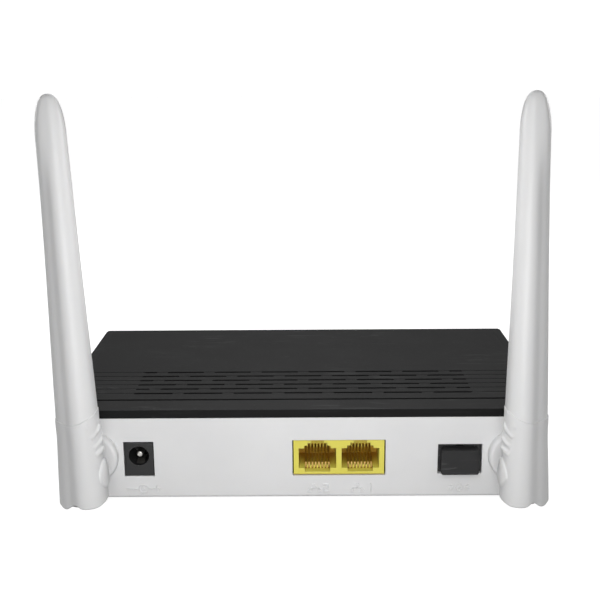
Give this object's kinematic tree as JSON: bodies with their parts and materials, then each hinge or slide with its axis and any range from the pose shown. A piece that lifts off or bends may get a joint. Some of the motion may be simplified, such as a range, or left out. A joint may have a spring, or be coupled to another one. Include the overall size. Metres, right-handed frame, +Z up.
{
  "type": "optical network terminal",
  "caption": "Flat desktop optical network terminal with network, power and fibre sockets on the rear wall and fold-down antennas on swivel stubs.",
  "frame": {"origin": "middle of the whole object's box, on the surface it stands on", "axes": "+Z up, -Y out of the rear wall with the sockets and antennas, +X to the right seen from the sockets"},
  "size_m": [0.155, 0.1135, 0.1254],
  "materials": {
    "white_plastic": "fine matt moulded texture",
    "antenna_plastic": "satin",
    "charcoal_plastic": "fine matt moulded texture",
    "yellow_plastic": "satin",
    "gold_contact": "polished",
    "black_plastic": "semi-matt",
    "cap_rubber": "matt",
    "nickel": "polished",
    "ceramic": "polished",
    "tin_plate": "satin",
    "chip_epoxy": "matt",
    "ferrite": "matt",
    "crystal_can": "satin",
    "anodised_aluminium": "satin",
    "capacitor_sleeve": "satin",
    "solder_mask": "satin",
    "led_lens": "clear",
    "clear_plastic": "polished",
    "switch_plastic": "matt",
    "zinc_steel": "zinc plated",
    "foot_rubber": "matt",
    "label_film": "matt film",
    "connector_brass": "plated",
    "coax_jacket": "smooth",
    "clip_nylon": "matt",
    "element_board": "satin"
  },
  "bodies": {
    "housing": {"bottom_shell": "white_plastic", "top_cover": "charcoal_plastic", "rubber_feet": "foot_rubber", "rating_label": "label_film", "case_screws": "zinc_steel", "board_screws": "zinc_steel", "main_board": "solder_mask", "lan_jack": "yellow_plastic", "lan_contacts": "gold_contact", "dc_jack": "black_plastic", "dc_pin": "nickel", "dc_spring": "nickel", "fibre_receptacle": "black_plastic", "fibre_ferrule": "ceramic", "optical_module": "tin_plate", "main_chip": "chip_epoxy", "memory_chips": "chip_epoxy", "lan_transformer": "chip_epoxy", "inductors": "ferrite", "crystals": "crystal_can", "heat_sink": "anodised_aluminium", "rf_shield": "tin_plate", "radio_chips": "chip_epoxy", "capacitors": "capacitor_sleeve", "status_leds": "led_lens", "light_guide": "clear_plastic", "side_switches": "switch_plastic", "coax_connectors": "connector_brass", "coax_lead_left": "coax_jacket", "coax_lead_right": "coax_jacket"},
    "dust_cap": {"dust_cap": "cap_rubber"},
    "wps_button": {"wps_button": "white_plastic", "wps_plunger": "switch_plastic"},
    "reset_button": {"reset_plunger": "switch_plastic"},
    "stub_left": {"antenna_stub_left": "white_plastic", "stub_clip_left": "clip_nylon"},
    "antenna_left": {"antenna_base_left": "antenna_plastic", "antenna_sheath_left": "antenna_plastic", "antenna_element_left": "element_board", "hinge_pin_left": "zinc_steel"},
    "stub_right": {"antenna_stub_right": "white_plastic", "stub_clip_right": "clip_nylon"},
    "antenna_right": {"antenna_base_right": "antenna_plastic", "antenna_sheath_right": "antenna_plastic", "antenna_element_right": "element_board", "hinge_pin_right": "zinc_steel"}
  },
  "joints": [
    {"name": "dust_cap_pull", "type": "slide", "parent": "housing", "child": "dust_cap", "axis": [0, -1, 0], "range_m": [0, 0.007]},
    {"name": "wps_press", "type": "slide", "parent": "housing", "child": "wps_button", "axis": [-1, 0, 0], "range_m": [0, 0.0003], "stiffness_N_per_m": 2000, "springref_m": -0.0003},
    {"name": "reset_press", "type": "slide", "parent": "housing", "child": "reset_button", "axis": [-1, 0, 0], "range_m": [0, 0.0003], "stiffness_N_per_m": 2000, "springref_m": -0.0003},
    {"name": "swivel_left", "type": "hinge", "parent": "housing", "child": "stub_left", "pos_m": [-0.0646, -0.04775, 0.0155], "axis": [0, 1, 0], "range_deg": [-90, 90]},
    {"name": "fold_left", "type": "hinge", "parent": "stub_left", "child": "antenna_left", "pos_m": [-0.0646, -0.04775, 0.0155], "axis": [0.9998, 0, 0.0209], "range_deg": [0, 90]},
    {"name": "swivel_right", "type": "hinge", "parent": "housing", "child": "stub_right", "pos_m": [0.0646, -0.04775, 0.0155], "axis": [0, 1, 0], "range_deg": [-90, 90]},
    {"name": "fold_right", "type": "hinge", "parent": "stub_right", "child": "antenna_right", "pos_m": [0.0646, -0.04775, 0.0155], "axis": [0.9998, 0, 0.0209], "range_deg": [0, 90]}
  ]
}
